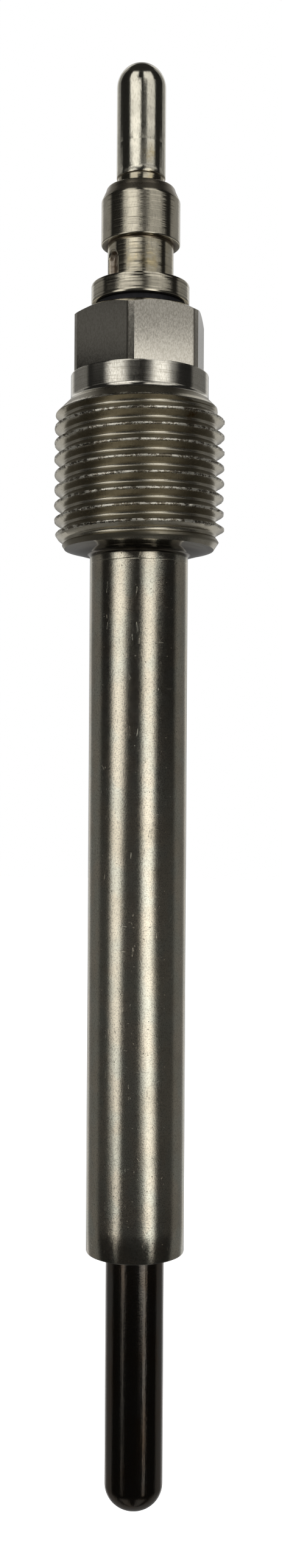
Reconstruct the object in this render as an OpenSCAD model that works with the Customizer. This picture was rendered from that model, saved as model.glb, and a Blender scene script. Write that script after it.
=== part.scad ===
// Diesel glow plug with a long shank, in millimetres.
// A turned steel body carries an M14 thread and a hexagon. A closed glow tube is pressed into
// its lower end, with two coils in packed powder. A rod leads the current up to a terminal that
// is crimped on it and insulated from the body. +Z points to the terminal, and the origin is on
// the axis at the middle of the lowest full thread crest.

/* [Thread] */
// Major diameter of the thread
thread_d = 13.9; // [13.2:0.1:15]
// Pitch of the thread
thread_pitch = 1.25; // [1:0.05:1.5]
// Length of the full thread, up to the cone above it
thread_len = 9.46; // [7:0.02:14]
// Height of the nose below the lowest full crest
nose_h = 1.36; // [1:0.02:2.5]
// Drop of the nose's cone from the thread in to the shank
nose_drop = 0.42; // [0.2:0.02:1]

/* [Body] */
// Width of the hexagon across its flats
hex_af = 10; // [9:0.1:11]
// Height of the hexagon
hex_h = 5.05; // [4.5:0.05:8]
// Diameter of the collar under the hexagon
collar_d = 11.25; // [10.8:0.05:12.2]
// Height of the collar
collar_h = 1.99; // [1:0.01:4]
// Diameter of the shank
shank_d = 8; // [7:0.1:9]
// Length of the shank below the nose
shank_len = 56.88; // [40:0.02:80]
// Fillet between the shank and the nose
shank_fillet = 0.35; // [0.1:0.05:0.8]
// Bore of the body around the centre rod
bore_d = 4.4; // [3.9:0.05:4.5]

/* [Glow tube] */
// Outer diameter of the glow tube
tube_d = 4.75; // [4.5:0.05:5.6]
// Wall of the glow tube
tube_wall = 0.5; // [0.35:0.05:0.6]
// Length of the tube that stands out of the shank
tube_reach = 21.07; // [15:0.01:30]
// Length of the tube that is held in the shank
tube_grip = 21; // [12:0.5:30]
// Height of the tube's round tip
tip_h = 2.09; // [1.9:0.01:2.2]

/* [Terminal] */
// Diameter of the terminal pin
pin_d = 4; // [3:0.1:5]
// Length of the pin above its neck, with its dome
pin_len = 9.47; // [6:0.01:14]
// Diameter of the neck under the pin
neck_d = 3.86; // [2.6:0.02:3.9]
// Height of the neck
neck_h = 0.8; // [0.3:0.01:1.5]
// Diameter of the barrel
barrel_d = 6.45; // [5.9:0.05:7.5]
// Height of the barrel
barrel_h = 4.63; // [3.6:0.01:7]
// Diameter of the crimped waist
waist_d = 5.38; // [4.8:0.02:5.7]
// Height of the waist
waist_h = 3.25; // [2.6:0.05:5]
// Diameter of the flange
flange_d = 8; // [7:0.1:9]
// Thickness of the flange
flange_h = 1.6; // [1:0.05:2.5]
// Width of a crimp
crimp_w = 1.45; // [1:0.05:2]
// Height of a crimp above the flange
crimp_h = 2.4; // [1.6:0.05:2.5]
// Depth of a crimp
crimp_depth = 0.4; // [0.2:0.05:0.6]
// Turn of the crimps from the front corner of the hexagon
crimp_turn = -52; // [-90:1:90]

/* [Insulation and seals] */
// Diameter of the insulating washer
washer_d = 7.4; // [6.6:0.1:8]
// Thickness of the washer between the body and the terminal
washer_h = 0.8; // [0.5:0.05:1.5]
// Diameter of the seal seat in the top of the body
seat_d = 6; // [5.8:0.1:6.4]
// Length of the washer's spigot in the seat
spigot_h = 1.2; // [0.8:0.1:2.5]
// Length of the rubber seal in the top of the tube
tube_seal_h = 3; // [2:0.25:5]

/* [Centre rod] */
// Diameter of the rod through the body
rod_d = 3; // [2.8:0.1:3.2]
// Diameter of its stem in the tube
stem_d = 2.4; // [2.1:0.1:2.6]
// Depth of the rod in the terminal
rod_in_terminal = 8; // [6:0.25:9]
// Length of the rod's tip inside the control coil
rod_tip_h = 1.6; // [1:0.1:3]

/* [Coils] */
// Mean diameter of both coils
coil_d = 2; // [1.6:0.05:2.2]
// Diameter of the coil wire
wire_d = 0.36; // [0.24:0.02:0.44]
// Turns of the heating coil
heater_turns = 12; // [8:1:16]
// Pitch of the heating coil
heater_pitch = 0.6; // [0.5:0.02:0.8]
// Turns of the control coil
control_turns = 18; // [10:1:22]
// Pitch of the control coil
control_pitch = 0.85; // [0.6:0.05:1.1]
// Clearance around the wire and the rod's tip
wire_gap = 0.02; // [0.01:0.01:0.06]

/* [Hidden] */
$fn = 96;
// Overlap that keeps a cut from ending on a face
eps = 0.05;
// Edge break on the turned edges
edge_break = 0.12;
// Angle of the flanks of the thread to a plane across the axis
flank = 30;

// Thread section
thread_r = thread_d / 2;
thread_depth = 0.6134 * thread_pitch;
root_r = thread_r - thread_depth;
crest_half = thread_pitch / 16;
flank_h = thread_depth * tan(flank);
collar_r = collar_d / 2;

// Levels of the body, from the thread up and down
z_collar = thread_len + thread_r - collar_r;
z_hex = z_collar + collar_h;
z_top = z_hex + hex_h;
z_nose = -nose_h;
z_foot = z_nose - nose_drop;
z_shank_end = z_foot - shank_len;
ridges = floor(z_collar / thread_pitch);

// Seat of the ring and the washer's spigot in the top of the body
ring_w = (seat_d - rod_d) / 2;
z_seat = z_top - spigot_h - ring_w;

// Levels of the terminal
z_flange = z_top + washer_h;
z_waist = z_flange + flange_h;
z_barrel = z_waist + waist_h;
z_neck = z_barrel + barrel_h;
z_pin = z_neck + neck_h;
z_dome = z_pin + pin_len - pin_d / 2;
barrel_chamfer_h = 1.14;
barrel_chamfer_r = 0.47;
// Flare of the neck towards its foot
neck_flare = 0.04;

// Levels of the tube and what is in it
tube_r = tube_d / 2;
tube_in_r = tube_r - tube_wall;
z_tube_top = z_shank_end + tube_grip;
z_tip = z_shank_end - tube_reach;
z_dome_in = z_tip + tip_h;
tip_in_h = tip_h - tube_wall;
z_fill_top = z_tube_top - tube_seal_h;

// Coils: a bent leg stands on the dome, then the helix of the heater and that of the control coil
coil_r = coil_d / 2;
wire_r = wire_d / 2;
wire_sides = 8;
turn_steps = 12;
leg_bend = 0.4;
z_weld = z_dome_in - tip_in_h / tube_in_r * sqrt(pow(tube_in_r, 2) - pow(coil_r + wire_r, 2));
z_heater = z_dome_in;
z_control = z_heater + heater_turns * heater_pitch;
z_coil_top = z_control + control_turns * control_pitch;
z_stem = z_coil_top + wire_r + wire_gap;
slot_in = (coil_r - wire_r) * cos(180 / turn_steps) - wire_gap;
slot_out = coil_r + wire_r + wire_gap;
z_slot = z_heater - leg_bend - wire_gap;

// Route of the wire as [angle, height] at the coil's radius
bend_angle = leg_bend / coil_r * 180 / PI;
leg_route = concat(
  [[0, z_weld]],
  [for (t = [0:30:90]) [bend_angle * (1 - cos(t)), z_heater - leg_bend * (1 - sin(t))]]
);
heater_route = [
  for (i = [1:heater_turns * turn_steps])
    [bend_angle + i * 360 / turn_steps, z_heater + i * heater_pitch / turn_steps]
];
control_route = [
  for (i = [1:control_turns * turn_steps])
    [bend_angle + (heater_turns + i / turn_steps) * 360, z_control + i * control_pitch / turn_steps]
];
wire_route = concat(leg_route, heater_route, control_route);
wire_join = len(leg_route) + len(heater_route) - 1;
wire_end = len(wire_route) - 1;

// A unit vector
function unit(v) = v / norm(v);
// Place and radial direction at one step of the route
function route_point(p) = [coil_r * cos(p[0]), coil_r * sin(p[0]), p[1]];
function route_out(p) = [cos(p[0]), sin(p[0]), 0];
// Direction of the wire at step k, along the cylinder that it is wound on
function route_dir(k) =
  let (a = wire_route[max(k - 1, 0)], b = wire_route[min(k + 1, wire_end)], p = wire_route[k])
  let (along = (b[0] - a[0]) * PI / 180 * coil_r, up = b[1] - a[1])
  unit([-sin(p[0]) * along, cos(p[0]) * along, up]);
// One ring of points round the wire
function wire_ring(k) =
  let (p = wire_route[k], u = route_out(p), v = cross(route_dir(k), u))
  [
    for (j = [0:wire_sides - 1])
      let (a = 360 * j / wire_sides)
      route_point(p) + wire_r * (cos(a) * u + sin(a) * v)
  ];

// The wire from one step of the route to another
module wire(first, last) {
  rings = last - first + 1;
  points = [for (k = [first:last]) each wire_ring(k)];
  sides = [
    for (k = [0:rings - 2])
      for (j = [0:wire_sides - 1])
        let (a = k * wire_sides + j, b = k * wire_sides + (j + 1) % wire_sides)
        each [[a, a + wire_sides, b], [b, a + wire_sides, b + wire_sides]]
  ];
  ends = [
    [for (j = [0:wire_sides - 1]) j],
    [for (j = [wire_sides - 1:-1:0]) (rings - 1) * wire_sides + j]
  ];
  polyhedron(points = points, faces = concat(sides, ends));
}

// Thread as rings of its true section, from the nose to the collar
module thread_rings() {
  outline = concat(
    [[0, z_nose], [root_r - edge_break, z_nose], [root_r, z_nose + edge_break]],
    [
      for (i = [0:ridges])
        let (z = i * thread_pitch)
        each [
          [root_r, z - crest_half - flank_h],
          [thread_r, z - crest_half],
          [thread_r, z + crest_half],
          [root_r, z + crest_half + flank_h]
        ]
    ],
    [[root_r, z_collar + thread_pitch], [0, z_collar + thread_pitch]]
  );
  rotate_extrude() polygon(outline);
}

// Thread, the cone on top of it and the collar
module thread_and_collar() {
  intersection() {
    thread_rings();
    rotate_extrude() polygon([
      [0, z_nose - eps],
      [thread_r + eps, z_nose - eps],
      [thread_r + eps, thread_len - eps],
      [collar_r, z_collar],
      [0, z_collar]
    ]);
  }
  translate([0, 0, z_collar - eps]) cylinder(d = collar_d, h = collar_h + eps);
}

// Hexagon milled out of the round collar, with a turned chamfer on its top
module hexagon() {
  top_r = hex_af * 0.475;
  chamfer_h = (collar_r - top_r) * tan(30);
  intersection() {
    translate([0, 0, z_hex - eps]) rotate([0, 0, 30])
      cylinder(d = hex_af / cos(30), h = hex_h + 2 * eps, $fn = 6);
    rotate_extrude() polygon([
      [0, z_hex - eps],
      [collar_r, z_hex - eps],
      [collar_r, z_top - chamfer_h],
      [top_r, z_top],
      [0, z_top]
    ]);
  }
}

// Shank with its fillet under the cone of the nose
module shank() {
  shank_r = shank_d / 2;
  rotate_extrude() polygon([
    [0, z_shank_end],
    [shank_r - edge_break, z_shank_end],
    [shank_r, z_shank_end + edge_break],
    [shank_r, z_foot + eps],
    [0, z_foot + eps]
  ]);
  rotate_extrude() polygon([
    [0, z_foot],
    [shank_r + shank_fillet, z_foot],
    [root_r - edge_break, z_nose],
    [root_r - edge_break, z_nose + eps],
    [0, z_nose + eps]
  ]);
  difference() {
    translate([0, 0, z_foot - shank_fillet]) cylinder(r = shank_r + shank_fillet, h = shank_fillet + eps);
    rotate_extrude() translate([shank_r + shank_fillet, z_foot - shank_fillet]) circle(r = shank_fillet);
  }
}

module body_shell() {
  color([0.60, 0.58, 0.53]) difference() {
    union() {
      thread_and_collar();
      hexagon();
      shank();
    }
    translate([0, 0, z_shank_end - 1]) cylinder(d = tube_d, h = tube_grip + 1);
    translate([0, 0, z_tube_top - eps]) cylinder(d = bore_d, h = z_seat - z_tube_top + 2 * eps);
    translate([0, 0, z_seat]) cylinder(d = seat_d, h = z_top - z_seat + 1);
  }
}

// Round end of the tube, a little lower than half a ball
module round_tip(r, h) {
  translate([0, 0, z_dome_in]) scale([1, 1, h / r]) sphere(r = r);
}

// Closed tube with a round tip
module glow_tube() {
  color([0.10, 0.085, 0.075]) difference() {
    union() {
      translate([0, 0, z_dome_in]) cylinder(r = tube_r, h = z_tube_top - z_dome_in);
      round_tip(tube_r, tip_h);
    }
    translate([0, 0, z_dome_in]) cylinder(r = tube_in_r, h = z_tube_top - z_dome_in + 1);
    round_tip(tube_in_r, tip_in_h);
  }
}

module heating_coil() {
  color([0.55, 0.45, 0.38]) wire(0, wire_join);
}

module control_coil() {
  color([0.66, 0.62, 0.56]) wire(wire_join, wire_end);
}

// Packed powder that fills the tube around the coils and the rod's stem
module magnesia_filling() {
  color([0.93, 0.92, 0.88]) difference() {
    union() {
      translate([0, 0, z_dome_in]) cylinder(r = tube_in_r, h = z_fill_top - z_dome_in);
      round_tip(tube_in_r, tip_in_h);
    }
    translate([0, 0, z_stem]) cylinder(d = stem_d, h = z_fill_top - z_stem + 1);
    translate([0, 0, z_stem - rod_tip_h]) cylinder(r = slot_in, h = rod_tip_h + eps);
    difference() {
      translate([0, 0, z_slot]) cylinder(r = slot_out, h = z_stem - z_slot);
      translate([0, 0, z_slot - 1]) cylinder(r = slot_in, h = z_stem - z_slot + 2);
    }
    translate([coil_r, 0, z_weld - 1]) cylinder(r = wire_r + wire_gap, h = z_slot - z_weld + 1 + eps);
  }
}

// Rod from the control coil to the inside of the terminal
module centre_rod() {
  color([0.56, 0.56, 0.57]) {
    translate([0, 0, z_tube_top]) cylinder(d = rod_d, h = z_flange + rod_in_terminal - z_tube_top);
    translate([0, 0, z_stem]) cylinder(d = stem_d, h = z_tube_top - z_stem + eps);
    translate([0, 0, z_stem - rod_tip_h]) cylinder(r = slot_in, h = rod_tip_h + eps);
  }
}

// Rubber plug between the rod's stem and the top of the tube
module tube_seal() {
  color([0.20, 0.13, 0.10]) translate([0, 0, z_fill_top]) difference() {
    cylinder(r = tube_in_r, h = tube_seal_h);
    translate([0, 0, -1]) cylinder(d = stem_d, h = tube_seal_h + 2);
  }
}

// Rubber ring between the rod and the seat in the body
module seal_ring() {
  color([0.05, 0.05, 0.05]) rotate_extrude()
    translate([(seat_d + rod_d) / 4, z_seat + ring_w / 2]) circle(d = ring_w);
}

// Washer under the terminal, with a spigot that presses on the ring
module insulating_washer() {
  color([0.04, 0.04, 0.045]) difference() {
    union() {
      translate([0, 0, z_top]) cylinder(d = washer_d, h = washer_h);
      translate([0, 0, z_top - spigot_h]) cylinder(d = seat_d, h = spigot_h + eps);
    }
    translate([0, 0, z_top - spigot_h - 1]) cylinder(d = rod_d, h = spigot_h + washer_h + 2);
  }
}

// Press mark of the crimping tool, a round-topped pocket that runs down to the flange
module crimp() {
  straight = crimp_h - crimp_w / 2;
  translate([waist_d / 2 - crimp_depth, 0, z_waist]) {
    translate([0, -crimp_w / 2, 0]) cube([crimp_depth + 1, crimp_w, straight]);
    translate([0, 0, straight]) rotate([0, 90, 0]) cylinder(d = crimp_w, h = crimp_depth + 1);
  }
}

// Terminal turned in one piece: flange, crimped waist, barrel, neck and domed pin
module terminal() {
  flange_r = flange_d / 2;
  waist_r = waist_d / 2;
  barrel_r = barrel_d / 2;
  color([0.72, 0.68, 0.58]) difference() {
    union() {
      rotate_extrude() polygon([
        [0, z_flange],
        [flange_r - edge_break, z_flange],
        [flange_r, z_flange + edge_break],
        [flange_r, z_waist - edge_break],
        [flange_r - edge_break, z_waist],
        [waist_r, z_waist],
        [waist_r, z_barrel],
        [barrel_r - 2 * edge_break, z_barrel],
        [barrel_r, z_barrel + 2 * edge_break],
        [barrel_r, z_neck - barrel_chamfer_h],
        [barrel_r - barrel_chamfer_r, z_neck],
        [neck_d / 2 + neck_flare, z_neck],
        [neck_d / 2 - neck_flare, z_pin + eps],
        [0, z_pin + eps]
      ]);
      translate([0, 0, z_pin]) cylinder(d = pin_d, h = z_dome - z_pin);
      translate([0, 0, z_dome]) sphere(d = pin_d);
    }
    translate([0, 0, z_flange - 1]) cylinder(d = rod_d, h = rod_in_terminal + 1);
    for (side = [0, 180])
      rotate([0, 0, -90 + crimp_turn + side]) crimp();
  }
}

body_shell();
glow_tube();
heating_coil();
control_coil();
magnesia_filling();
centre_rod();
tube_seal();
seal_ring();
insulating_washer();
terminal();
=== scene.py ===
import math
import random
import bpy
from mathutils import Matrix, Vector


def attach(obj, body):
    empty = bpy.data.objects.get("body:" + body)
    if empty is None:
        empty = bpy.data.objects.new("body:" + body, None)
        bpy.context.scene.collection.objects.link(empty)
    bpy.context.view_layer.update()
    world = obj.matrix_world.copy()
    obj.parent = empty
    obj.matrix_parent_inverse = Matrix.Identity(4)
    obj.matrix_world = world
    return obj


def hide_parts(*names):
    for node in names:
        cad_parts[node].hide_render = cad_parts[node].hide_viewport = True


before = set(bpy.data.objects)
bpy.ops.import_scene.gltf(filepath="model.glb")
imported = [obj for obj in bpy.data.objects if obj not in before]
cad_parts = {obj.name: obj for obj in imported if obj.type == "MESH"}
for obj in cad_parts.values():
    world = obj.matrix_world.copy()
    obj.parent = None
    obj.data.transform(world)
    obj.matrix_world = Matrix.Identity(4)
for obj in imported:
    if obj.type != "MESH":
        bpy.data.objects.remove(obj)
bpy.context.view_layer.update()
scene = bpy.context.scene
MM = 0.001

# Heights on the plug in millimetres, in the frame of the solids, from the tip up
Z_TIP = -79.73
Z_SHANK_END = -58.66
Z_TUBE_TOP = -37.66
Z_NOSE = -1.36
Z_COLLAR = 10.785
Z_HEX = 12.775
Z_SEAT = 15.125
Z_SPIGOT = 16.625
Z_TOP = 17.825
Z_FLANGE = 18.625
Z_WAIST = 20.225
Z_BARREL = 23.475
Z_NECK = 28.105
Z_PIN = 28.905
Z_PIN_LINE = 31.5
Z_TERMINAL_TOP = 38.375

# Tube and shank, in millimetres
TIP_H = 2.09
TUBE_R = 2.375
TUBE_WALL = 0.5
SHANK_R = 4.0
FOOT_ROUND = 0.35
RING_LINE_DROP = 0.42
NOSE_DROP = 0.42
Z_FOOT = Z_NOSE - NOSE_DROP

# Thread, in millimetres; the crest's height is that at angle zero in turn zero
PITCH = 1.25
THREAD_R = 6.95
ROOT_R = 6.25
ROOT_ROUND = 0.24
CREST_HALF = 0.085
CREST_Z = 0.275
CREST_TILT = 0.02
NICK_DEPTHS = [0.0, 0.0, 0.01, 0.025, 0.045, 0.07]
FIRST_TURN = -2
THREAD_TURNS = 12
START_R = 6.10
START_SLOPE = 0.66
CONE_END = 0.09
Z_THREAD_TOP = Z_COLLAR - CONE_END

# Collar, hexagon and the bores in the body, in millimetres and degrees
COLLAR_R = 5.625
SHELF_R = COLLAR_R - 0.02
HEX_HALF = 5.0
HEX_TOP_R = 4.78
HEX_EDGE = math.degrees(math.acos(HEX_HALF / COLLAR_R))
BORE_R = 2.2
SEAT_R = 3.0
RUST_PLACE = (4.7, -4.5, 8.6)
RUST_R = 0.6

# Washer and terminal, in millimetres and degrees
WASHER_FLAT_R = 3.55
WASHER_ROUND = 0.15
ROD_R = 1.5
ROD_HOLE = 8.0
FLANGE_R = 4.0
WAIST_R = 2.69
WAIST_FOOT_R = 2.85
BARREL_R = 3.22
PIN_R = 2.0
CRIMP_TURN = -142.0
CRIMP_DEPTH = 0.46
CRIMP_HALF = 0.80
CRIMP_TOP = 2.42
CRIMP_ROUND = 0.72

# Camera in millimetres, degrees and pixels of the photo; its turn goes from the front towards +X
CAMERA_TURN = 7.3
CAMERA_FAR = 126.0
CAMERA_SIDE = 0.284
CAMERA_Z = -20.48
CAMERA_ROLL = -0.34
SENSOR = 36.0
FOCAL_PX = 2530
PHOTO_HEIGHT_PX = 2576

# Studio, in metres
TENT_R = 0.35
TENT_Z = -0.0205
FLOOR_Z = -0.40
FLOOR_HALF = 6.0
LAMP_AIM_Z = -0.02

# Places of the materials on the body and on the terminal
SHANK, THREAD, TURNED, HEXAGON = range(4)
AS_TURNED, SMOOTH = range(2)


# Mesh helpers

def clamp(value, low, high):
    return max(low, min(high, value))


def smooth(edge0, edge1, value):
    """Eased step from 0 at the first edge to 1 at the second."""
    t = clamp((value - edge0) / (edge1 - edge0), 0.0, 1.0)
    return t * t * (3 - 2 * t)


def arc(cx, cz, radius, start, end, steps):
    """Points of a round stretch of an outline, angles in degrees from +r towards +z."""
    angles = [math.radians(start + (end - start) * i / steps) for i in range(steps + 1)]
    return [(cx + radius * math.cos(a), cz + radius * math.sin(a)) for a in angles]


def fill_line(p, q, step):
    """Points from p to q, both left out, so that no gap is over step."""
    count = int(max(abs(q[0] - p[0]), abs(q[1] - p[1])) / step)
    return [
        (p[0] + (q[0] - p[0]) * i / (count + 1), p[1] + (q[1] - p[1]) * i / (count + 1))
        for i in range(1, count + 1)
    ]


def even_angles(count):
    return [2 * math.pi * i / count for i in range(count)]


class Solid:
    """Collects rings of points into one closed mesh; points that fall together become one."""

    def __init__(self):
        self.points = []
        self.index = {}
        self.faces = []
        self.slots = []

    def point(self, r, angle, z):
        """Number of the point at a radius, an angle and a height in millimetres."""
        x = r * math.cos(angle)
        y = r * math.sin(angle)
        key = (round(x, 5), round(y, 5), round(z, 5))
        if key not in self.index:
            self.index[key] = len(self.points)
            self.points.append((x * MM, y * MM, z * MM))
        return self.index[key]

    def face(self, corners, slot):
        """Adds a face, without the corners that fall together."""
        kept = []
        for corner in corners:
            if corner not in kept:
                kept.append(corner)
        if len(kept) > 2:
            self.faces.append(kept)
            self.slots.append(slot)

    def rings(self, rows, slot):
        """Joins rings of equal length, each a list of points, from the first to the last."""
        for low, high in zip(rows, rows[1:]):
            count = len(low)
            for i in range(count):
                j = (i + 1) % count
                self.face([low[i], low[j], high[j], high[i]], slot)

    def lathe(self, outline, angles, slot, radius=None):
        """Turns an outline of (r, z) points; radius(r, z, angle) may change the radius."""
        rows = []
        for r, z in outline:
            rows.append([self.point(radius(r, z, a) if radius else r, a, z) for a in angles])
        self.rings(rows, slot)

    def build(self, name, materials, sharp, body="root"):
        """Makes the object; edges over the angle sharp, in degrees, stay hard."""
        mesh = bpy.data.meshes.new(name)
        mesh.from_pydata(self.points, [], self.faces)
        for material in materials:
            mesh.materials.append(material)
        mesh.polygons.foreach_set("material_index", self.slots)
        mesh.polygons.foreach_set("use_smooth", [True] * len(self.faces))
        mesh.validate()
        mesh.set_sharp_from_angle(angle=math.radians(sharp))
        piece = bpy.data.objects.new(name, mesh)
        scene.collection.objects.link(piece)
        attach(piece, body)
        return piece


def paint_values(piece, name, values):
    """Gives the points of a piece a list of values under a name that its materials read."""
    layer = piece.data.attributes.new(name, "FLOAT", "POINT")
    layer.data.foreach_set("value", values)


def paint(piece, name, level):
    """Gives each point of a piece a value from its place in millimetres."""
    paint_values(piece, name, [level(v.co / MM) for v in piece.data.vertices])


def spot(p, centre, radius):
    """One in the middle of a round spot, none outside it."""
    return smooth(1.0, 0.3, (p - Vector(centre)).length / radius)


# Material helpers

class Shader:
    """One node material; add() makes a node, and a value that is a socket is linked."""

    NAMES = {"color": "Base Color", "metallic": "Metallic", "roughness": "Roughness", "normal": "Normal",
             "ior": "IOR"}

    def __init__(self, name):
        self.material = bpy.data.materials.new(name)
        self.material.use_nodes = True
        self.tree = self.material.node_tree
        self.bsdf = self.tree.nodes["Principled BSDF"]
        coords = self.tree.nodes.new("ShaderNodeTexCoord")
        self.mm = self.add("ShaderNodeVectorMath", {0: coords.outputs["Object"], 1: (1000, 1000, 1000)},
                           operation="MULTIPLY").outputs[0]

    def put(self, socket, value):
        if isinstance(value, bpy.types.NodeSocket):
            self.tree.links.new(value, socket)
        else:
            socket.default_value = value

    def add(self, kind, inputs=None, **props):
        made = self.tree.nodes.new(kind)
        for key, value in props.items():
            setattr(made, key, value)
        for key, value in (inputs or {}).items():
            self.put(made.inputs[key], value)
        return made

    def set(self, **values):
        for key, value in values.items():
            self.put(self.bsdf.inputs[self.NAMES[key]], value)

    def stretch(self, x, y, z, turn=(0, 0, 0)):
        """Coordinates in millimetres, turned and then scaled."""
        turned = self.mm
        if turn != (0, 0, 0):
            turned = self.add("ShaderNodeVectorRotate", {"Vector": self.mm,
                              "Rotation": [math.radians(t) for t in turn]},
                              rotation_type="EULER_XYZ").outputs[0]
        return self.add("ShaderNodeVectorMath", {0: turned, 1: (x, y, z)}, operation="MULTIPLY").outputs[0]

    def noise(self, where, scale, detail, rough):
        return self.add("ShaderNodeTexNoise", {"Vector": where, "Scale": scale, "Detail": detail,
                                               "Roughness": rough}).outputs["Fac"]

    def cells(self, where, scale):
        made = self.add("ShaderNodeTexVoronoi", {"Vector": where, "Scale": scale})
        return made.outputs["Distance"], made.outputs["Color"]

    def ramp(self, value, low, high, to_low=0.0, to_high=1.0):
        """Eased step of a value from to_low at low to to_high at high."""
        inputs = {"Value": value, "From Min": low, "From Max": high, "To Min": to_low, "To Max": to_high}
        return self.add("ShaderNodeMapRange", inputs, interpolation_type="SMOOTHSTEP").outputs["Result"]

    def math(self, operation, a, b):
        return self.add("ShaderNodeMath", {0: a, 1: b}, operation=operation).outputs[0]

    def mix(self, factor, a, b):
        """Colour a where the factor is 0 and b where it is 1."""
        made = self.add("ShaderNodeMix", data_type="RGBA")
        for key, value in ((0, factor), (6, a), (7, b)):
            self.put(made.inputs[key], value)
        return made.outputs[2]

    def bump(self, height, strength, distance):
        """Normal of an uneven surface; the distance is in millimetres."""
        inputs = {"Height": height, "Strength": strength, "Distance": distance * MM}
        return self.add("ShaderNodeBump", inputs).outputs[0]

    def mask(self, name):
        """The values that were painted on the points under this name."""
        return self.add("ShaderNodeAttribute", attribute_name=name).outputs["Fac"]


def rgba(r, g, b):
    return (r, g, b, 1.0)


# Plated steel, with a finish for each way that it was worked

NICKEL_DARK = rgba(0.40, 0.37, 0.31)
GRIME = rgba(0.10, 0.08, 0.055)
# Colour of the painted shade in corners and on edges
PAINTED_SHADE_TONE = rgba(0.05, 0.04, 0.028)


def scratches(sh, turn, thin, low, high):
    """Thin straight marks that run across the turned coordinates."""
    lines = sh.noise(sh.stretch(thin, 0.7, 0.7, turn), 1.0, 1.0, 0.4)
    broken = sh.noise(sh.stretch(0.8, 0.8, 0.8, turn), 1.0, 2.0, 0.5)
    return sh.math("MULTIPLY", sh.ramp(lines, low, high), sh.ramp(broken, 0.52, 0.64))


def pits(sh, scale, size, share):
    """Small round marks, on a share of the cells only."""
    distance, colour = sh.cells(sh.mm, scale)
    chosen = sh.math("GREATER_THAN", sh.add("ShaderNodeSeparateColor", {0: colour}).outputs[0], 1 - share)
    return sh.math("MULTIPLY", sh.ramp(distance, size, size * 0.4), chosen)


def shank_material():
    """Satin plating with grain, pits and scratches."""
    sh = Shader("plated_shank")
    cloud = sh.noise(sh.mm, 0.35, 3.0, 0.6)
    tint = sh.noise(sh.stretch(0.55, 0.55, 0.4), 1.0, 2.0, 0.5)
    grain = sh.noise(sh.mm, 9.0, 4.0, 0.7)
    mottle = sh.noise(sh.stretch(3.2, 3.2, 1.8), 1.0, 4.0, 0.7)
    marks = scratches(sh, (25, 15, 40), 9.0, 0.72, 0.76)
    for turn in ((-50, 20, 10), (70, -30, 5), (10, 80, 30)):
        marks = sh.math("MAXIMUM", marks, scratches(sh, turn, 9.0, 0.725, 0.765))
    holes = pits(sh, 2.6, 0.13, 0.30)
    specks = pits(sh, 6.5, 0.20, 0.22)
    tone = sh.mix(sh.ramp(tint, 0.40, 0.62), rgba(0.61, 0.55, 0.435), rgba(0.56, 0.545, 0.45))
    tone = sh.mix(sh.ramp(cloud, 0.40, 0.75, 0.0, 0.7), tone, rgba(0.49, 0.435, 0.335))
    tone = sh.mix(sh.ramp(grain, 0.47, 0.64, 0.0, 0.65), tone, rgba(0.29, 0.27, 0.22))
    tone = sh.mix(sh.math("MULTIPLY", specks, 0.55), tone, NICKEL_DARK)
    tone = sh.mix(sh.math("MULTIPLY", holes, 0.8), tone, GRIME)
    # Painted shade in the corner under the nose
    tone = sh.mix(sh.mask("painted_shade"), tone, PAINTED_SHADE_TONE)
    rough = sh.math("ADD", sh.ramp(mottle, 0.25, 0.75, 0.12, 0.18), sh.math("MULTIPLY", marks, 0.08))
    height = sh.math("ADD", sh.math("MULTIPLY", grain, 1.25), mottle)
    height = sh.math("SUBTRACT", height, sh.math("MULTIPLY", marks, 1.2))
    height = sh.math("SUBTRACT", height, sh.math("MULTIPLY", holes, 2.5))
    sh.set(color=tone, metallic=1.0, roughness=rough, normal=sh.bump(height, 0.65, 0.006))
    return sh.material


def thread_material():
    """Plating with brown painted shade on the upward-facing flanks, chipped bright crests and a spot of
    rust.
    """
    sh = Shader("plated_thread")
    wear = sh.mask("crest")
    flank_shade = sh.mask("flank_shade")
    cloud = sh.noise(sh.mm, 0.9, 3.0, 0.6)
    fine = sh.noise(sh.stretch(6, 6, 10), 1.0, 3.0, 0.6)
    chips = sh.noise(sh.stretch(1.8, 1.8, 2.2), 1.0, 3.0, 0.6)
    ragged = sh.noise(sh.stretch(7, 7, 9), 1.0, 3.0, 0.65)
    tone = sh.mix(sh.ramp(cloud, 0.3, 0.7), rgba(0.52, 0.48, 0.385), rgba(0.45, 0.41, 0.32))
    tone = sh.mix(sh.ramp(fine, 0.60, 0.72, 0.0, 0.6), tone, rgba(0.31, 0.27, 0.19))
    # Painted shade on the upward-facing flanks, reaching towards the roots
    tone = sh.mix(sh.math("MULTIPLY", flank_shade, 0.75), tone, rgba(0.20, 0.175, 0.125))
    edge = sh.math("ADD", wear, sh.math("MULTIPLY", sh.math("SUBTRACT", ragged, 0.5), 1.5))
    worn = sh.ramp(edge, 0.52, 0.70)
    tone = sh.mix(worn, tone, rgba(0.19, 0.165, 0.12))
    broken = sh.math("ADD", chips, sh.math("MULTIPLY", sh.math("SUBTRACT", ragged, 0.5), 0.7))
    bright = sh.math("MULTIPLY", worn, sh.ramp(broken, 0.44, 0.56))
    tone = sh.mix(bright, tone, rgba(0.76, 0.725, 0.62))
    dull = sh.math("ADD", sh.math("MULTIPLY", bright, 0.12), sh.math("MULTIPLY", flank_shade, 0.12))
    rough = sh.math("ADD", sh.ramp(fine, 0.2, 0.8, 0.20, 0.29), dull)
    rust = sh.math("MULTIPLY", sh.mask("rust"), sh.ramp(sh.noise(sh.mm, 4.0, 3.0, 0.6), 0.40, 0.54))
    tone = sh.mix(rust, tone, rgba(0.30, 0.17, 0.05))
    height = sh.math("MULTIPLY", fine, 0.25)
    height = sh.math("ADD", height, sh.math("MULTIPLY", sh.math("MULTIPLY", ragged, worn), 1.6))
    sh.set(color=tone, metallic=1.0, roughness=rough, normal=sh.bump(height, 0.4, 0.03))
    return sh.material


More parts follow.
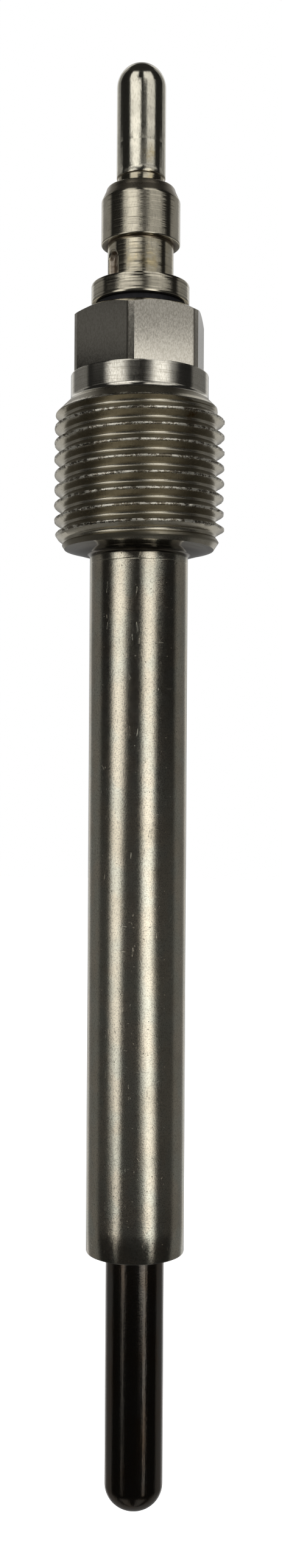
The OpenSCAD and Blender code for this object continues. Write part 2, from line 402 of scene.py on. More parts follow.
def hex_material():
    """Milled faces with fine upright streaks."""
    sh = Shader("plated_hexagon")
    brush = sh.noise(sh.stretch(9, 9, 4.5), 1.0, 4.0, 0.7)
    streak = sh.noise(sh.stretch(4.5, 4.5, 1.1), 1.0, 3.0, 0.6)
    cloud = sh.noise(sh.mm, 0.7, 2.0, 0.5)
    tone = sh.mix(sh.ramp(brush, 0.38, 0.60), rgba(0.50, 0.465, 0.39), rgba(0.65, 0.61, 0.525))
    tone = sh.mix(sh.ramp(streak, 0.62, 0.74, 0.0, 0.4), tone, rgba(0.27, 0.25, 0.21))
    tone = sh.mix(sh.ramp(cloud, 0.55, 0.8, 0.0, 0.35), tone, NICKEL_DARK)
    # Painted shade on the hexagon's edges
    tone = sh.mix(sh.mask("painted_shade"), tone, PAINTED_SHADE_TONE)
    rough = sh.ramp(brush, 0.2, 0.8, 0.06, 0.10)
    height = sh.math("ADD", brush, sh.math("MULTIPLY", streak, 0.6))
    sh.set(color=tone, metallic=1.0, roughness=rough, normal=sh.bump(height, 0.4, 0.003))
    return sh.material


def turned_material():
    """Collar, nose, end face and bores, with rings from the turning."""
    sh = Shader("plated_turned")
    rings = sh.noise(sh.stretch(0.25, 0.25, 14), 1.0, 2.0, 0.6)
    mottle = sh.noise(sh.stretch(9, 9, 4.0), 1.0, 3.0, 0.6)
    marks = scratches(sh, (0, 0, 30), 6.0, 0.64, 0.69)
    tone = sh.mix(sh.ramp(mottle, 0.35, 0.7), rgba(0.70, 0.665, 0.58), rgba(0.58, 0.545, 0.46))
    tone = sh.mix(sh.math("MULTIPLY", marks, 0.6), tone, NICKEL_DARK)
    tone = sh.mix(sh.ramp(rings, 0.50, 0.68, 0.0, 0.55), tone, rgba(0.36, 0.33, 0.27))
    # Painted shade on the nose's face and in the corner under it
    tone = sh.mix(sh.mask("painted_shade"), tone, PAINTED_SHADE_TONE)
    rough = sh.ramp(mottle, 0.25, 0.75, 0.08, 0.14)
    height = sh.math("ADD", sh.math("MULTIPLY", rings, 0.4), sh.math("MULTIPLY", mottle, 0.6))
    sh.set(color=tone, metallic=1.0, roughness=rough, normal=sh.bump(height, 0.20, 0.006))
    return sh.material


def terminal_material(name, polish):
    """Bright nickel, with turning rings where polish is 0 and smooth where it is 1."""
    sh = Shader(name)
    rings = sh.noise(sh.stretch(0.12, 0.12, 11), 1.0, 3.0, 0.7)
    cloud = sh.noise(sh.mm, 0.8, 3.0, 0.6)
    stain = sh.noise(sh.stretch(1.2, 1.2, 1.8), 1.0, 3.0, 0.6)
    specks = pits(sh, 5.0, 0.16, 0.16)
    grain = sh.noise(sh.stretch(9, 9, 2.5), 1.0, 3.0, 0.6)
    bright = rgba(0.70, 0.66, 0.545) if polish else rgba(0.54, 0.495, 0.39)
    tone = sh.mix(sh.ramp(cloud, 0.35, 0.7), bright, rgba(*[c * 0.82 for c in bright[:3]]))
    gold = sh.math("MULTIPLY", sh.mask("gold"), sh.ramp(stain, 0.38, 0.60, 0.25, 1.0))
    tone = sh.mix(sh.math("MULTIPLY", gold, 0.7), tone, rgba(0.47, 0.375, 0.19))
    tone = sh.mix(sh.ramp(grain, 0.50, 0.68, 0.0, 0.45), tone, rgba(0.36, 0.33, 0.265))
    if not polish:
        tone = sh.mix(sh.ramp(rings, 0.58, 0.75, 0.0, 0.45), tone, rgba(0.34, 0.30, 0.22))
    tone = sh.mix(sh.math("MULTIPLY", specks, 0.7), tone, rgba(0.13, 0.10, 0.07))
    # Brown painted shade in the corners between the steps and on the barrel's slope
    terminal_shade = sh.mask("terminal_shade")
    tone = sh.mix(terminal_shade, tone, rgba(0.085, 0.05, 0.022))
    # Darker, browner tone on the floor of the press marks, rising with depth
    pocket = sh.mask("pocket")
    pocket_tone = sh.mix(sh.ramp(stain, 0.40, 0.60), rgba(0.42, 0.36, 0.29), rgba(0.22, 0.165, 0.115))
    tone = sh.mix(pocket, tone, pocket_tone)
    low, high = (0.09, 0.15) if polish else (0.10, 0.17)
    # Rougher under the painted shade and on the darker floor of the press marks
    darkened = sh.math("MAXIMUM", terminal_shade, pocket)
    rough = sh.math("ADD", sh.ramp(cloud, 0.2, 0.8, low, high), sh.math("MULTIPLY", darkened, 0.3))
    sh.set(color=tone, metallic=1.0, roughness=rough)
    if polish:
        sh.set(normal=sh.bump(sh.math("ADD", grain, sh.math("MULTIPLY", rings, 0.25)), 0.7, 0.005))
    else:
        sh.set(normal=sh.bump(sh.math("ADD", rings, sh.math("MULTIPLY", grain, 0.25)), 0.3, 0.009))
    return sh.material


def tube_material():
    """Dark oxide from the heat, with fine lines along the tube."""
    sh = Shader("heat_scaled_tube")
    cloud = sh.noise(sh.stretch(0.5, 0.5, 0.22), 1.0, 3.0, 0.6)
    fine = sh.noise(sh.mm, 7.0, 3.0, 0.6)
    drawn = sh.noise(sh.stretch(6, 6, 0.35), 1.0, 3.0, 0.65)
    specks = pits(sh, 3.0, 0.14, 0.16)
    tone = sh.mix(sh.ramp(cloud, 0.35, 0.7), rgba(0.115, 0.105, 0.09), rgba(0.115, 0.085, 0.06))
    tone = sh.mix(sh.ramp(fine, 0.62, 0.75, 0.0, 0.5), tone, rgba(0.15, 0.125, 0.095))
    tone = sh.mix(sh.math("MULTIPLY", specks, 0.6), tone, rgba(0.30, 0.26, 0.20))
    rough = sh.ramp(fine, 0.2, 0.8, 0.10, 0.16)
    height = sh.math("ADD", fine, sh.math("MULTIPLY", drawn, 2.2))
    sh.set(color=tone, metallic=1.0, roughness=rough, normal=sh.bump(height, 0.6, 0.007))
    return sh.material


def plain_material(name, colour, roughness, metallic, scale, bump, stretch=(1, 1, 1)):
    """A material for the pieces inside and the insulation, with a fine uneven surface."""
    sh = Shader(name)
    fine = sh.noise(sh.stretch(*[scale * s for s in stretch]), 1.0, 3.0, 0.6)
    darker = rgba(*[c * 0.72 for c in colour])
    sh.set(color=sh.mix(sh.ramp(fine, 0.35, 0.7), rgba(*colour), darker), metallic=metallic)
    sh.set(roughness=sh.ramp(fine, 0.2, 0.8, roughness * 0.85, roughness * 1.15))
    sh.set(normal=sh.bump(fine, bump, 0.02), ior=1.25 if metallic == 0.0 else 1.5)
    return sh.material


# Body: shank, thread with its helix, collar and hexagon in one closed piece

def column_angles():
    """Angles round the axis, with a column on each edge of the hexagon's faces."""
    face = [-HEX_EDGE + 2 * HEX_EDGE * i / 36 for i in range(37)]
    corner = [HEX_EDGE + (60 - 2 * HEX_EDGE) * i / 4 for i in range(1, 4)]
    return [math.radians(60 * k + a) for k in range(6) for a in face + corner]


def hex_radius(angle):
    """Radius of the hexagon, whose corners are turned round."""
    off = (math.degrees(angle) + 30) % 60 - 30
    return min(COLLAR_R, HEX_HALF / math.cos(math.radians(off)))


def thread_section():
    """Half of the section, from the crest out to the root, as (height, radius, wear)."""
    slope = math.tan(math.radians(30))
    half = [(0.0, THREAD_R, 1.0), (CREST_HALF * 0.75, THREAD_R - 0.004, 1.0)]
    half.append((CREST_HALF, THREAD_R - 0.025, 0.95))
    half.append((CREST_HALF + 0.07 * slope, THREAD_R - 0.09, 0.55))
    half.append((CREST_HALF + 0.22 * slope, THREAD_R - 0.24, 0.0))
    bottom = arc(ROOT_R + ROOT_ROUND, PITCH / 2, ROOT_ROUND, 240, 180, 6)
    half += [(z, r, 0.0) for r, z in bottom]
    return half


def thread_limit(z):
    """Largest radius at a height: the start of the thread below and the cone above."""
    start = START_R + (z - Z_NOSE) * START_SLOPE
    cone = COLLAR_R + Z_COLLAR - z
    return min(THREAD_R, start, cone)


def body_painted_shade(p):
    """Painted shade in the corner under the nose, thinner on its face, and on the hexagon's edges."""
    r = math.hypot(p.x, p.y)
    if Z_HEX < p.z < Z_TOP:
        off = (math.degrees(math.atan2(p.y, p.x)) - HEX_EDGE + 30) % 60 - 30
        return 0.85 if abs(off) < 0.2 and r > COLLAR_R - 0.05 else 0.0
    if p.z >= Z_NOSE + 0.01 or r <= SHANK_R - 0.01:
        return 0.0
    corner = smooth(Z_FOOT - 0.42, Z_FOOT - 0.22, p.z) * smooth(4.9, 4.3, r)
    face = 0.85 * smooth(6.6, 5.2, r) if p.z > Z_FOOT - 0.05 else 0.0
    return max(0.9 * corner, face)


def add_shank(solid, angles):
    """End face, shank with its fine ring line, and the nose under the thread."""
    end_r = SHANK_R - 0.10
    end = [(TUBE_R, Z_SHANK_END)] + fill_line((TUBE_R, Z_SHANK_END), (end_r, Z_SHANK_END), 0.6)
    end += [(end_r, Z_SHANK_END), (SHANK_R - 0.03, Z_SHANK_END + 0.03), (SHANK_R, Z_SHANK_END + 0.12)]
    shank_top = Z_FOOT - FOOT_ROUND
    line_z = shank_top - RING_LINE_DROP
    shank = [end[-1]] + fill_line(end[-1], (SHANK_R, line_z - 0.09), 2.4)
    shank += [(SHANK_R, line_z - 0.09), (SHANK_R, line_z - 0.04), (SHANK_R - 0.012, line_z)]
    shank += [(SHANK_R, line_z + 0.04), (SHANK_R, line_z + 0.09)]
    shank += arc(SHANK_R + FOOT_ROUND, shank_top, FOOT_ROUND, 180, 90, 6)
    nose = [shank[-1], (4.75, Z_FOOT + 0.06), (5.25, Z_FOOT + 0.20), (5.75, Z_FOOT + 0.36)]
    nose += [(START_R, Z_NOSE)]
    solid.lathe(end, angles, TURNED)
    solid.lathe(shank, angles, SHANK)
    solid.lathe(nose, angles, TURNED)


def add_thread(solid, angles):
    """Helix with nicked crests; gives back the wear and the painted shade of the upward flanks at its
    points.
    """
    rng = random.Random(7)
    half = thread_section()
    section = [(-h, r, w) for h, r, w in reversed(half)] + half[1:]
    count = len(angles)
    wear = {}
    flank_shade = {}
    columns = []
    nick_left = 0
    for step in range(count * THREAD_TURNS):
        turn = FIRST_TURN + step // count
        angle = angles[step % count]
        base = CREST_Z + PITCH * (turn + angle / (2 * math.pi))
        if nick_left <= 0:
            nick = rng.choice(NICK_DEPTHS)
            tilt = rng.uniform(-CREST_TILT, CREST_TILT)
            nick_left = rng.randint(2, 10)
        nick_left -= 1
        column = []
        for h, r, w in section:
            z = clamp(base + h, Z_NOSE, Z_THREAD_TOP)
            worn = r - w * (nick * rng.uniform(0.7, 1.0) + tilt * h / CREST_HALF)
            now = min(worn, thread_limit(z))
            p = solid.point(now, angle, z)
            shown = w if now > ROOT_R + 0.2 else 0.0
            wear[p] = max(wear.get(p, 0.0), shown)
            # Painted shade on the upward-facing flank, none at the crest and at the root's middle
            flank_shade[p] = smooth(0.0, 0.12, h) * smooth(PITCH / 2 - 0.02, PITCH / 2 - 0.09, h)
            column.append(p)
        columns.append(column)
    for left, right in zip(columns, columns[1:]):
        for i in range(len(section) - 1):
            solid.face([left[i], right[i], right[i + 1], left[i + 1]], THREAD)
    return wear, flank_shade


def add_hexagon(solid, angles):
    """Collar, hexagon with its shelf, and the chamfer at its top."""
    collar = [(COLLAR_R + CONE_END, Z_THREAD_TOP), (COLLAR_R + 0.04, Z_COLLAR)]
    collar += [(COLLAR_R + 0.01, Z_COLLAR + 0.10), (COLLAR_R, Z_COLLAR + 0.24), (COLLAR_R, Z_COLLAR + 0.30)]
    collar += fill_line((COLLAR_R, Z_COLLAR + 0.30), (COLLAR_R, Z_HEX - 0.09), 0.5)
    collar += [(COLLAR_R, Z_HEX - 0.09), (COLLAR_R, Z_HEX - 0.05), (SHELF_R, Z_HEX)]
    solid.lathe(collar, angles, TURNED)
    chamfer = math.tan(math.radians(30))
    shelf = []
    flats = []
    rim = []
    for a in angles:
        r = hex_radius(a)
        edge_z = Z_TOP - max(0.0, r - HEX_TOP_R) * chamfer
        rise = edge_z - Z_HEX - 0.02
        shelf.append(solid.point(SHELF_R, a, Z_HEX))
        column = [solid.point(min(r, SHELF_R), a, Z_HEX)]
        column += [solid.point(r, a, Z_HEX + 0.02 + rise * i / 6) for i in range(7)]
        flats.append(column)
        rim.append(solid.point(HEX_TOP_R, a, Z_TOP))
    rows = [[column[i] for column in flats] for i in range(len(flats[0]))]
    solid.rings([shelf, rows[0]], TURNED)
    solid.rings(rows, HEXAGON)
    solid.rings([rows[-1], rim], TURNED)


def make_body(materials):
    solid = Solid()
    angles = column_angles()
    add_shank(solid, angles)
    wear, flank_shade = add_thread(solid, angles)
    add_hexagon(solid, angles)
    inside = [(HEX_TOP_R, Z_TOP), (3.8, Z_TOP), (SEAT_R, Z_TOP), (SEAT_R, Z_SEAT), (BORE_R, Z_SEAT)]
    inside += [(BORE_R, Z_TUBE_TOP), (TUBE_R, Z_TUBE_TOP), (TUBE_R, Z_SHANK_END)]
    solid.lathe(inside, angles, TURNED)
    piece = solid.build("plug_body", materials, sharp=24)
    for name, levels in (("crest", wear), ("flank_shade", flank_shade)):
        paint_values(piece, name, [levels.get(i, 0.0) for i in range(len(piece.data.vertices))])
    paint(piece, "rust", lambda p: spot(p, RUST_PLACE, RUST_R))
    # Painted shade under the nose and on the hexagon's edges
    paint(piece, "painted_shade", body_painted_shade)
    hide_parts("body_shell")


# Terminal: flange, crimped waist, barrel, neck and pin, turned in one piece

def crimp_depth(z, angle):
    """Depth of the two press marks on the waist, each with a low ridge in its lower middle."""
    deepest = 0.0
    for side in (0.0, 180.0):
        off = (math.degrees(angle) - (CRIMP_TURN + side) + 180) % 360 - 180
        across = math.radians(off) * WAIST_R
        above = max(0.0, z - (Z_WAIST + CRIMP_TOP - CRIMP_ROUND))
        reach = math.hypot(across, above) / CRIMP_HALF
        if reach < 1.0 and abs(off) < 90:
            depth = CRIMP_DEPTH * (1 - smooth(0.60, 1.0, reach))
            depth -= 0.12 * (1 - smooth(0.0, 0.45, abs(across) / 0.74)) * smooth(1.5, 0.6, z - Z_WAIST)
            deepest = max(deepest, depth)
    return deepest


def crimped(r, z, angle):
    """Radius with the press marks, on the waist and on its foot above the flange."""
    return r - crimp_depth(z, angle) if r < WAIST_FOOT_R and z >= Z_WAIST else r


def groove(rng, r, z0, z1, step, depth):
    """A turned surface from z0 to z1 with fine uneven rings."""
    count = int((z1 - z0) / step)
    out = []
    for i in range(1, count):
        out.append((r - depth * rng.random() ** 5, z0 + (z1 - z0) * i / count))
    return out


def terminal_painted_shade(p):
    """Brown painted shade in the corners and on the barrel's slope."""
    r = math.hypot(p.x, p.y)
    level = 0.9 * smooth(0.16, 0.02, abs(p.z - Z_BARREL)) * smooth(3.16, 2.9, r)
    level = max(level, 0.75 * smooth(0.22, 0.03, abs(p.z - Z_WAIST)) * smooth(3.1, 2.75, r))
    level = max(level, 0.6 * smooth(0.10, 0.0, abs(p.z - Z_NECK)) * smooth(2.25, 2.0, r))
    level = max(level, 0.7 * smooth(0.10, 0.0, abs(p.z - Z_PIN)) * smooth(2.0, 1.9, r))
    slope = smooth(Z_NECK - 1.10, Z_NECK - 0.98, p.z) * smooth(1.95, 2.2, r)
    return max(level, 0.5 * slope if p.z < Z_NECK + 0.01 else 0.0)


def terminal_pocket(p):
    """Darker, browner floor of the press marks, more so deeper in."""
    on_waist = Z_WAIST + 0.1 < p.z < Z_BARREL - 0.1 and p.xy.length > 1.6
    return smooth(0.03, 0.14, WAIST_R - p.xy.length) if on_waist else 0.0


def terminal_gold(p):
    """Golden stains on the waist, the neck and the foot of the pin."""
    level = max(spot(p, (1.1, -2.45, 21.5), 1.2), 0.7 * spot(p, (-0.45, -2.65, 21.9), 1.0))
    level = max(level, spot(p, (0.95, -1.75, 30.4), 0.9), 0.8 * spot(p, (0.8, -1.7, 28.5), 1.0))
    return max(level, 0.35 if Z_NECK < p.z < Z_PIN or Z_WAIST < p.z < Z_BARREL else 0.0)


def make_terminal(materials):
    solid = Solid()
    angles = even_angles(240)
    rng = random.Random(11)
    flange = [(ROD_R, Z_FLANGE), (2.6, Z_FLANGE), (3.86, Z_FLANGE), (3.96, Z_FLANGE + 0.04)]
    flange += [(FLANGE_R, Z_FLANGE + 0.13)]
    flange += groove(rng, FLANGE_R, Z_FLANGE + 0.13, Z_WAIST - 0.15, 0.06, 0.010)
    flange += [(FLANGE_R, Z_WAIST - 0.15), (3.96, Z_WAIST - 0.05), (3.86, Z_WAIST), (3.2, Z_WAIST)]
    flange += [(2.80, Z_WAIST), (2.71, Z_WAIST + 0.03), (WAIST_R, Z_WAIST + 0.10)]
    waist = [flange[-1]] + groove(rng, WAIST_R, Z_WAIST + 0.10, Z_BARREL - 0.06, 0.06, 0.006)
    waist += [(WAIST_R, Z_BARREL - 0.06), (2.72, Z_BARREL)]
    barrel = [waist[-1], (3.12, Z_BARREL), (3.18, Z_BARREL + 0.02), (3.215, Z_BARREL + 0.06)]
    barrel += [(BARREL_R, Z_BARREL + 0.10)]
    barrel += groove(rng, BARREL_R, Z_BARREL + 0.10, Z_NECK - 1.16, 0.06, 0.006)
    barrel += [(BARREL_R, Z_NECK - 1.16), (3.205, Z_NECK - 1.08)]
    barrel += fill_line(barrel[-1], (2.80, Z_NECK - 0.20), 0.2)
    barrel += arc(2.60, Z_NECK - 0.22, 0.22, 24, 84, 5) + [(2.3, Z_NECK), (PIN_R, Z_NECK)]
    neck = [barrel[-1], (1.96, Z_NECK + 0.04), (1.935, Z_NECK + 0.14), (1.92, Z_PIN - 0.10)]
    neck += [(1.915, Z_PIN - 0.03), (1.95, Z_PIN), (1.985, Z_PIN + 0.03), (PIN_R, Z_PIN + 0.10)]
    dome_z = Z_TERMINAL_TOP - PIN_R
    pin = [neck[-1]] + fill_line(neck[-1], (PIN_R, Z_PIN_LINE), 0.5)
    pin += [(PIN_R, Z_PIN_LINE), (PIN_R - 0.0015, Z_PIN_LINE + 0.04), (PIN_R, Z_PIN_LINE + 0.08)]
    pin += fill_line(pin[-1], (PIN_R, dome_z), 0.5)
    pin += arc(0, dome_z, PIN_R, 0, 90, 20)[:-1] + [(0.0, Z_TERMINAL_TOP)]
    hole_z = Z_FLANGE + ROD_HOLE
    hole = [(0.0, hole_z), (ROD_R, hole_z), (ROD_R, Z_FLANGE)]
    solid.lathe(flange, angles, AS_TURNED, crimped)
    solid.lathe(waist, angles, AS_TURNED, crimped)
    solid.lathe(barrel, angles, AS_TURNED)
    solid.lathe(neck, angles, AS_TURNED)
    solid.lathe(pin, angles, SMOOTH)
    solid.lathe(hole, angles, AS_TURNED)
    piece = solid.build("crimped_terminal", materials, sharp=38)
    # Painted shade in the terminal's corners and on the barrel's slope
    paint(piece, "terminal_shade", terminal_painted_shade)
    paint(piece, "pocket", terminal_pocket)
    paint(piece, "gold", terminal_gold)
    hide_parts("terminal")


# Tube with its round tip, and the washer with its spigot

def make_tube(material):
    solid = Solid()
    dome = Z_TIP + TIP_H
    flat = TIP_H / TUBE_R
    outline = [(0.0, Z_TIP)] + [(r, dome + z * flat) for r, z in arc(0, 0, TUBE_R, -90, 0, 24)[1:]]
    outline += fill_line((TUBE_R, dome), (TUBE_R, Z_TUBE_TOP), 2.0) + [(TUBE_R, Z_TUBE_TOP)]
    inner = TUBE_R - TUBE_WALL
    outline += [(inner, Z_TUBE_TOP)] + fill_line((inner, Z_TUBE_TOP), (inner, dome), 6.0)
    flat = (TIP_H - TUBE_WALL) / inner
    outline += [(r, dome + z * flat) for r, z in arc(0, 0, inner, 0, -90, 12)[:-1]]
    outline += [(0.0, Z_TIP + TUBE_WALL)]
    solid.lathe(outline, even_angles(160), 0)
    piece = solid.build("glow_tube_skin", [material], sharp=45)
    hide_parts("glow_tube")


def make_washer(material):
    solid = Solid()
    outline = [(ROD_R, Z_SPIGOT), (SEAT_R - 0.05, Z_SPIGOT), (SEAT_R, Z_SPIGOT + 0.055), (SEAT_R, Z_TOP)]
    outline += arc(WASHER_FLAT_R, Z_TOP + WASHER_ROUND, WASHER_ROUND, -90, 0, 5)
    outline += arc(WASHER_FLAT_R, Z_FLANGE - WASHER_ROUND, WASHER_ROUND, 0, 90, 5)
    outline += [(ROD_R, Z_FLANGE), (ROD_R, Z_SPIGOT)]
    solid.lathe(outline, even_angles(120), 0)
    piece = solid.build("black_washer", [material], sharp=40)
    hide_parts("insulating_washer")


# Pieces inside keep their solids and get their own finish

def dress_inside():
    finishes = {
        "heating_coil": plain_material("resistance_wire", (0.42, 0.34, 0.28), 0.35, 1.0, 9.0, 0.1),
        "control_coil": plain_material("nickel_wire", (0.62, 0.58, 0.50), 0.28, 1.0, 9.0, 0.1),
        "magnesia_filling": plain_material("packed_magnesia", (0.88, 0.87, 0.83), 0.9, 0.0, 12.0, 0.5),
        "centre_rod": plain_material("drawn_rod", (0.50, 0.50, 0.50), 0.30, 1.0, 8.0, 0.1, (1, 1, 0.1)),
        "tube_seal": plain_material("brown_seal_rubber", (0.13, 0.075, 0.05), 0.7, 0.0, 5.0, 0.2),
        "seal_ring": plain_material("black_seal_rubber", (0.022, 0.022, 0.022), 0.6, 0.0, 5.0, 0.2),
    }
    for name, material in finishes.items():
        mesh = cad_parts[name].data
        mesh.materials.clear()
        mesh.materials.append(material)


# Light tent: soft white strips between dark panels, seen only in the metal

def strip(az, centre, half, soft):
    """One inside an upright strip of the tent, none outside it, with a soft edge."""
    off = abs((az - centre + 180) % 360 - 180)
    return 1 - smooth(half - soft, half + soft, off)


# Height in the tent, then middle, half width and strength of the left strip and of the right one
STRIPS = [
    (-33, -47, 2.0, 0.35, 40, 2.5, 0.90),
    (-27, -47, 2.2, 0.60, 40, 3.2, 1.40),
    (-24.6, -47, 2.5, 0.50, 38, 5, 0.90),
    (-23.4, -45, 7, 1.10, 34, 11, 1.80),
    (-6, -50, 12, 1.40, 25, 12, 1.90),
    (6, -46, 14, 1.45, 25, 13, 1.45),
    (11.8, -45, 15, 1.65, 25, 14, 1.50),
    (13.2, -35, 16, 1.10, 34, 21, 1.10),
    (18.6, -35, 16, 1.10, 34, 21, 1.10),
    (19.2, -40, 15, 1.75, 35, 13, 1.70),
    (20.3, -40, 15, 1.75, 35, 13, 1.70),
    (20.8, -44, 40, 0.11, 40, 22, 1.10),
    (21.6, -44, 40, 0.11, 42, 22, 0.42),
    (23.5, -44, 40, 0.11, 44, 22, 0.32),
    (24, -31, 28, 1.20, 52, 26, 0.60),
    (25, -23, 27, 1.40, 45, 29, 0.60),
    (26.2, -23, 27, 1.40, 45, 29, 0.60),
    (26.6, -27, 14, 1.50, 31, 29, 0.38),
    (28.8, -24, 14, 1.50, 31, 29, 0.38),
    (30, -28, 25, 1.30, 46, 20, 0.85),
    (33, -28, 25, 1.30, 46, 20, 0.85),
    (36, -37, 19, 1.05, 35, 24, 0.95),
]


def strip_pair(row, az):
    """Light of the two strips of one row of the list; the lower rows have softer edges."""
    light = 0.0
    soft = 9 if row[0] < 21 else 5
    for middle, half, power in (row[1:4], row[4:7]):
        light += power * strip(az, middle, half, min(soft, 0.6 * half))
    return light


def strips_at(az, el):
    """Light of the strips at one height, blended between the two rows of the list around it."""
    low = STRIPS[0]
    for high in STRIPS:
        if el <= high[0]:
            break
        low = high
    share = smooth(low[0], high[0], el) if high[0] > low[0] else 0.0
    return strip_pair(low, az) * (1 - share) + strip_pair(high, az) * share


def tent_light(az, el):
    """Brightness of the tent in one direction, in degrees from the camera and above the level."""
    front = strips_at(az, el) * smooth(-42, -33, el)
    back = 0.5 * (strip(az, 155, 11, 7) + strip(az, -155, 11, 7))
    beside = 1 - strip(az, 0, 96 + 20 * smooth(29, 30, el), 5)
    base = 0.02 + 0.05 * smooth(-24, -20, el) * smooth(6, -6, el)
    side = max(base + front, (0.18 + 0.14 * smooth(22, 24, el)) * beside + back)
    roof = smooth(58, 66, el)
    ground = smooth(-36, -52, el)
    low = 0.22 * (strip(az, -45, 22, 9) + strip(az, 35, 22, 9)) * smooth(-46, -56, el)
    below = max(0.03 + 0.19 * (1 - strip(az, 0, 88, 18)), low)
    return (side * (1 - roof) + 0.03 * roof) * (1 - ground) + below * ground


def bare_material(name):
    """A new material with only its output, as the material, its nodes and the socket to fill."""
    material = bpy.data.materials.new(name)
    material.use_nodes = True
    tree = material.node_tree
    tree.nodes.clear()
    out = tree.nodes.new("ShaderNodeOutputMaterial")
    return material, tree, out.inputs["Surface"]


def make_tent(radius, height):
    """A sphere of light round the plug that only reflections see."""
    around = 288
    rings = 240
    points = []
    light = []
    for j in range(rings + 1):
        el = -90 + 180 * j / rings
        flat = radius * math.cos(math.radians(el))
        z = height + radius * math.sin(math.radians(el))
        for i in range(around):
            az = -180 + 360 * i / around
            turn = math.radians(az + CAMERA_TURN - 90)
            points.append((flat * math.cos(turn), flat * math.sin(turn), z))
            light.append(tent_light(az, el))
    faces = []
    for j in range(rings):
        for i in range(around):
            a = j * around + i
            b = j * around + (i + 1) % around
            faces.append((a, b, b + around, a + around))
    mesh = bpy.data.meshes.new("light_tent")
    mesh.from_pydata(points, [], faces)
    mesh.polygons.foreach_set("use_smooth", [True] * len(faces))
    material, tree, surface = bare_material("tent_cloth")
    glow = tree.nodes.new("ShaderNodeEmission")
    source = tree.nodes.new("ShaderNodeAttribute")
    source.attribute_name = "glow"
    tree.links.new(source.outputs["Fac"], glow.inputs["Strength"])
    tree.links.new(glow.outputs[0], surface)
    mesh.materials.append(material)
    tent = bpy.data.objects.new("light_tent", mesh)
    paint_values(tent, "glow", light)
    scene.collection.objects.link(tent)
    tent.visible_camera = False
    tent.visible_diffuse = False
    tent.visible_shadow = False


# Floor, background, lamps and camera

def seen_rays(tree):
    """One for the rays of the camera, of reflections and of clear things, none for the light given off."""
    path = tree.nodes.new("ShaderNodeLightPath")
    seen = tree.nodes.new("ShaderNodeMath")
    seen.operation = "MAXIMUM"
    tree.links.new(path.outputs["Is Camera Ray"], seen.inputs[0])
    tree.links.new(path.outputs["Is Glossy Ray"], seen.inputs[1])
    more = tree.nodes.new("ShaderNodeMath")
    more.operation = "MAXIMUM"
    tree.links.new(seen.outputs[0], more.inputs[0])
    tree.links.new(path.outputs["Is Transmission Ray"], more.inputs[1])
    return more.outputs[0]


def make_floor(height, half):
    """A pale floor, lit by the lamps and brightened for the rays that see it."""
    mesh = bpy.data.meshes.new("floor")
    corners = [(-half, -half, height), (half, -half, height), (half, half, height), (-half, half, height)]
    mesh.from_pydata(corners, [], [(0, 1, 2, 3)])
    material, tree, surface = bare_material("pale_floor")
    cloth = tree.nodes.new("ShaderNodeBsdfDiffuse")
    cloth.inputs["Color"].default_value = rgba(0.85, 0.85, 0.85)
    glow = tree.nodes.new("ShaderNodeEmission")
    share = tree.nodes.new("ShaderNodeMath")
    share.operation = "MULTIPLY"
    share.inputs[1].default_value = 0.75
    tree.links.new(seen_rays(tree), share.inputs[0])
    tree.links.new(share.outputs[0], glow.inputs["Strength"])
    both = tree.nodes.new("ShaderNodeAddShader")
    tree.links.new(cloth.outputs[0], both.inputs[0])
    tree.links.new(glow.outputs[0], both.inputs[1])
    tree.links.new(both.outputs[0], surface)
    mesh.materials.append(material)
    floor = bpy.data.objects.new("floor", mesh)
    scene.collection.objects.link(floor)


def make_world():
    """A white background that gives off half of the light that it shows."""
    world = bpy.data.worlds.new("studio")
    scene.world = world
    world.use_nodes = True
    tree = world.node_tree
    back = tree.nodes["Background"]
    back.inputs["Color"].default_value = rgba(1, 1, 1)
    level = tree.nodes.new("ShaderNodeMapRange")
    level.inputs["To Min"].default_value = 0.5
    level.inputs["To Max"].default_value = 1.0
    tree.links.new(seen_rays(tree), level.inputs["Value"])
    tree.links.new(level.outputs[0], back.inputs["Strength"])


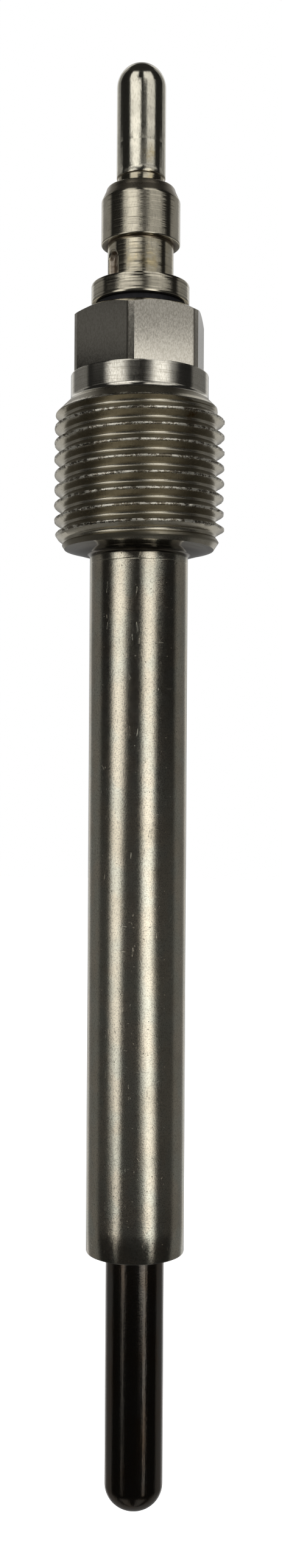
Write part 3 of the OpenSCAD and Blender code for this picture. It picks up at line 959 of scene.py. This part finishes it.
def make_lamp(name, turn, lift, far, size, power):
    """A soft lamp that looks at the middle of the plug; the tent gives the metal its reflections."""
    lamp = bpy.data.lights.new(name, "AREA")
    lamp.shape = "RECTANGLE"
    lamp.size = size
    lamp.size_y = size * 1.6
    lamp.energy = power
    made = bpy.data.objects.new(name, lamp)
    a = math.radians(turn + CAMERA_TURN - 90)
    e = math.radians(lift)
    flat = far * math.cos(e)
    made.location = (flat * math.cos(a), flat * math.sin(a), far * math.sin(e) + LAMP_AIM_Z)
    aim = Vector((0, 0, LAMP_AIM_Z)) - made.location
    made.rotation_euler = aim.to_track_quat("-Z", "Y").to_euler()
    made.visible_glossy = False
    scene.collection.objects.link(made)


def make_camera():
    """The photo's camera, which looks level at the middle of the plug from a little towards +X."""
    data = bpy.data.cameras.new("photo_camera")
    data.sensor_width = SENSOR
    data.lens = FOCAL_PX / PHOTO_HEIGHT_PX * SENSOR
    data.clip_start = 0.005
    camera = bpy.data.objects.new("photo_camera", data)
    turn = math.radians(CAMERA_TURN)
    side = CAMERA_SIDE * MM
    far = CAMERA_FAR * MM
    x = far * math.sin(turn) + side * math.cos(turn)
    y = -far * math.cos(turn) + side * math.sin(turn)
    camera.location = (x, y, CAMERA_Z * MM)
    camera.rotation_euler = (math.pi / 2, math.radians(CAMERA_ROLL), turn)
    scene.collection.objects.link(camera)
    scene.camera = camera


make_camera()
make_body([shank_material(), thread_material(), turned_material(), hex_material()])
make_terminal([terminal_material("turned_nickel", 0), terminal_material("smooth_nickel", 1)])
make_tube(tube_material())
make_washer(plain_material("black_insulation", (0.007, 0.007, 0.008), 0.5, 0.0, 5.0, 0.12))
dress_inside()
make_tent(TENT_R, TENT_Z)
make_floor(FLOOR_Z, FLOOR_HALF)
make_world()
make_lamp("key_lamp", -42, 30, 0.8, 0.5, 5.0)
make_lamp("fill_lamp", 35, 20, 0.8, 0.5, 4.0)
make_lamp("top_lamp", 160, 55, 0.9, 0.6, 4.0)
scene.view_settings.view_transform = "Standard"
